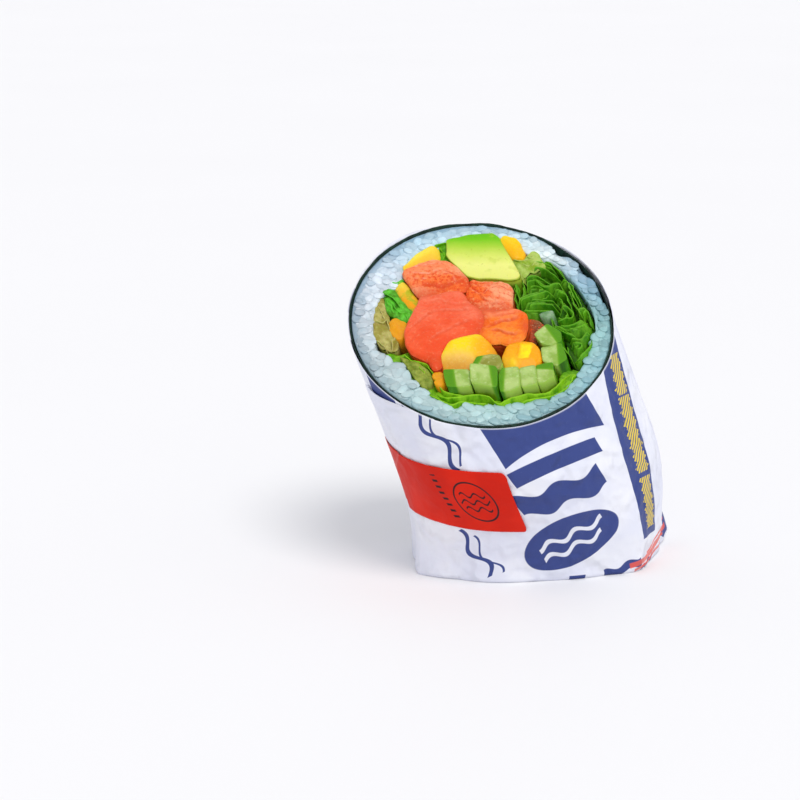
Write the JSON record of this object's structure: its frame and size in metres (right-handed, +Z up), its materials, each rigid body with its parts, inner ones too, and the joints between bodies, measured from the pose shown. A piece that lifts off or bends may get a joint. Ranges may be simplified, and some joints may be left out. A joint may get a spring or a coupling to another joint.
{
  "type": "sushi burrito",
  "caption": "Half of a thick seaweed and rice roll with raw fish, fruit and salad, cut on the slant and standing in its printed paper wrap.",
  "frame": {"origin": "centre of the bounding box, on the flat folded end that the roll stands on", "axes": "+Z up; the slanted cut faces -Y and up; the roll leans towards -X"},
  "size_m": [0.0812, 0.0656, 0.0783],
  "materials": {
    "paper": "printed white food paper",
    "label": "red paper label",
    "nori": "dark green seaweed sheet",
    "rice": "moist cooked rice",
    "salmon": "moist raw salmon",
    "avocado": "cut avocado",
    "mango": "moist mango",
    "cucumber": "moist cucumber stick",
    "lettuce": "green salad leaf"
  },
  "bodies": {
    "root": {"wrapper": "paper", "label": "label", "nori": "nori", "rice": "rice", "avocado": "avocado", "salmon_back": "salmon", "salmon_right": "salmon", "salmon_front": "salmon", "salmon_tip": "salmon", "salmon_side": "salmon", "mango_front": "mango", "mango_right": "mango", "mango_back": "mango", "mango_corner": "mango", "mango_left": "mango", "mango_small": "mango", "mango_sliver": "mango", "cucumber_a": "cucumber", "cucumber_b": "cucumber", "cucumber_c": "cucumber", "cucumber_d": "cucumber", "cucumber_e": "cucumber", "cucumber_f": "cucumber", "cucumber_g": "cucumber", "cucumber_h": "cucumber", "leaf_bright": "lettuce", "leaf_back": "lettuce", "leaf_side": "lettuce", "leaf_pale": "lettuce", "lettuce_heap": "lettuce", "lettuce_lining": "lettuce"}
  },
  "joints": []
}
